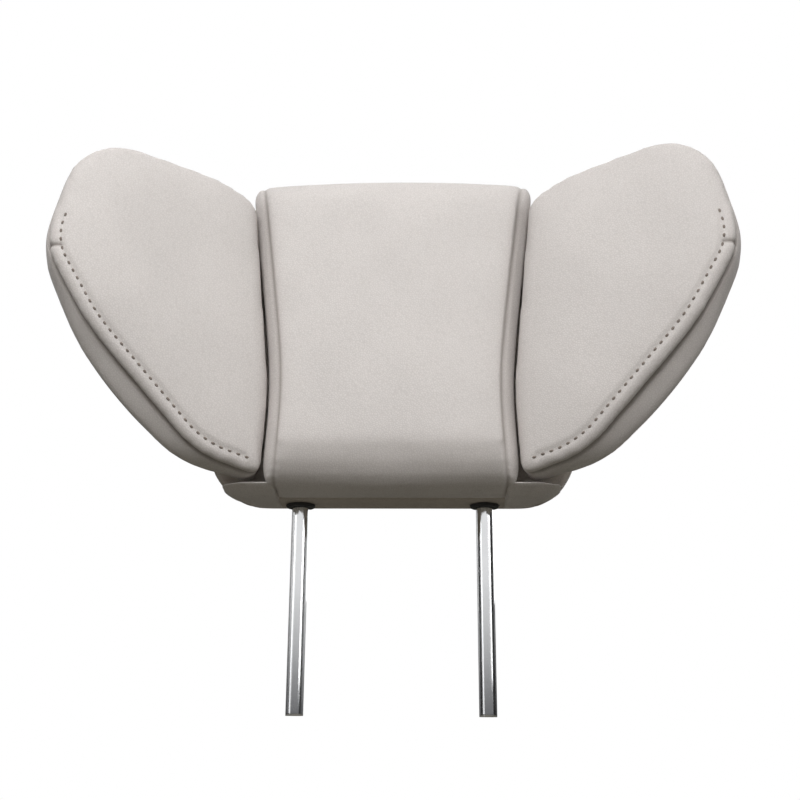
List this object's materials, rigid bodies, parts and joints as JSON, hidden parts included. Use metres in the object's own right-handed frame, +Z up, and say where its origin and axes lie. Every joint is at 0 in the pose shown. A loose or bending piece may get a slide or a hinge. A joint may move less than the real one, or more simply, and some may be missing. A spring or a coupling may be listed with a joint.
{
  "type": "car head restraint with side wings",
  "caption": "Heated leather car head restraint: a centre pad and folding side wings on hinges, carried by two chrome posts of one bent stay.",
  "frame": {"origin": "midway between the lower ends of the two posts", "axes": "+Z up along the posts, -Y towards the head that rests on it, +X to the right as seen from the front"},
  "size_m": [0.4756, 0.1382, 0.3801],
  "materials": {
    "leather_panel": "soft grained leather, satin",
    "leather_gusset": "soft grained leather in shade, satin",
    "foam": "moulded polyurethane foam",
    "chrome": "polished",
    "steel": "zinc plated",
    "moulding": "moulded, matt",
    "board": "moulded, matt",
    "heater": "heating cloth",
    "brass": "turned"
  },
  "bodies": {
    "body": {"stay": "chrome", "carrier_front": "moulding", "carrier_rear": "moulding", "carrier_screw_1": "steel", "carrier_screw_2": "steel", "carrier_screw_3": "steel", "carrier_screw_4": "steel", "pad_front_panel": "leather_panel", "pad_foam": "foam", "heater_mat": "heater", "thermostat": "moulding", "heater_lead": "moulding", "rear_foam": "foam", "rear_panel": "leather_panel", "rear_band": "leather_gusset", "underside_panel": "leather_gusset", "pad_gusset_left": "leather_gusset", "shoulder_panel_left": "leather_gusset", "post_collar_left": "moulding", "hinge_bracket_left": "steel", "hinge_bracket_left_screw_1": "steel", "hinge_bracket_left_screw_2": "steel", "hinge_rod_left": "steel", "disc_spring_left": "steel", "rod_nut_left": "steel", "pad_gusset_right": "leather_gusset", "shoulder_panel_right": "leather_gusset", "post_collar_right": "moulding", "hinge_bracket_right": "steel", "hinge_bracket_right_screw_1": "steel", "hinge_bracket_right_screw_2": "steel", "hinge_rod_right": "steel", "disc_spring_right": "steel", "rod_nut_right": "steel"},
    "wing_left": {"wing_left_front_panel": "leather_panel", "wing_left_gusset": "leather_gusset", "wing_left_back_panel": "leather_gusset", "wing_left_front_foam": "foam", "wing_left_board": "board", "wing_left_back_foam": "foam", "hinge_leaf_left": "steel", "lower_bush_left": "brass", "upper_bush_left": "brass", "wing_left_leaf_screw_1": "steel", "wing_left_leaf_screw_2": "steel"},
    "wing_right": {"wing_right_front_panel": "leather_panel", "wing_right_gusset": "leather_gusset", "wing_right_back_panel": "leather_gusset", "wing_right_front_foam": "foam", "wing_right_board": "board", "wing_right_back_foam": "foam", "hinge_leaf_right": "steel", "lower_bush_right": "brass", "upper_bush_right": "brass", "wing_right_leaf_screw_1": "steel", "wing_right_leaf_screw_2": "steel"}
  },
  "joints": [
    {"name": "wing_left_hinge", "type": "hinge", "parent": "body", "child": "wing_left", "pos_m": [-0.114, -0.0555, 0.223], "axis": [0, 0, 1], "range_deg": [-18, 42]},
    {"name": "wing_right_hinge", "type": "hinge", "parent": "body", "child": "wing_right", "pos_m": [0.114, -0.0555, 0.223], "axis": [0, 0, -1], "range_deg": [-18, 42]}
  ]
}
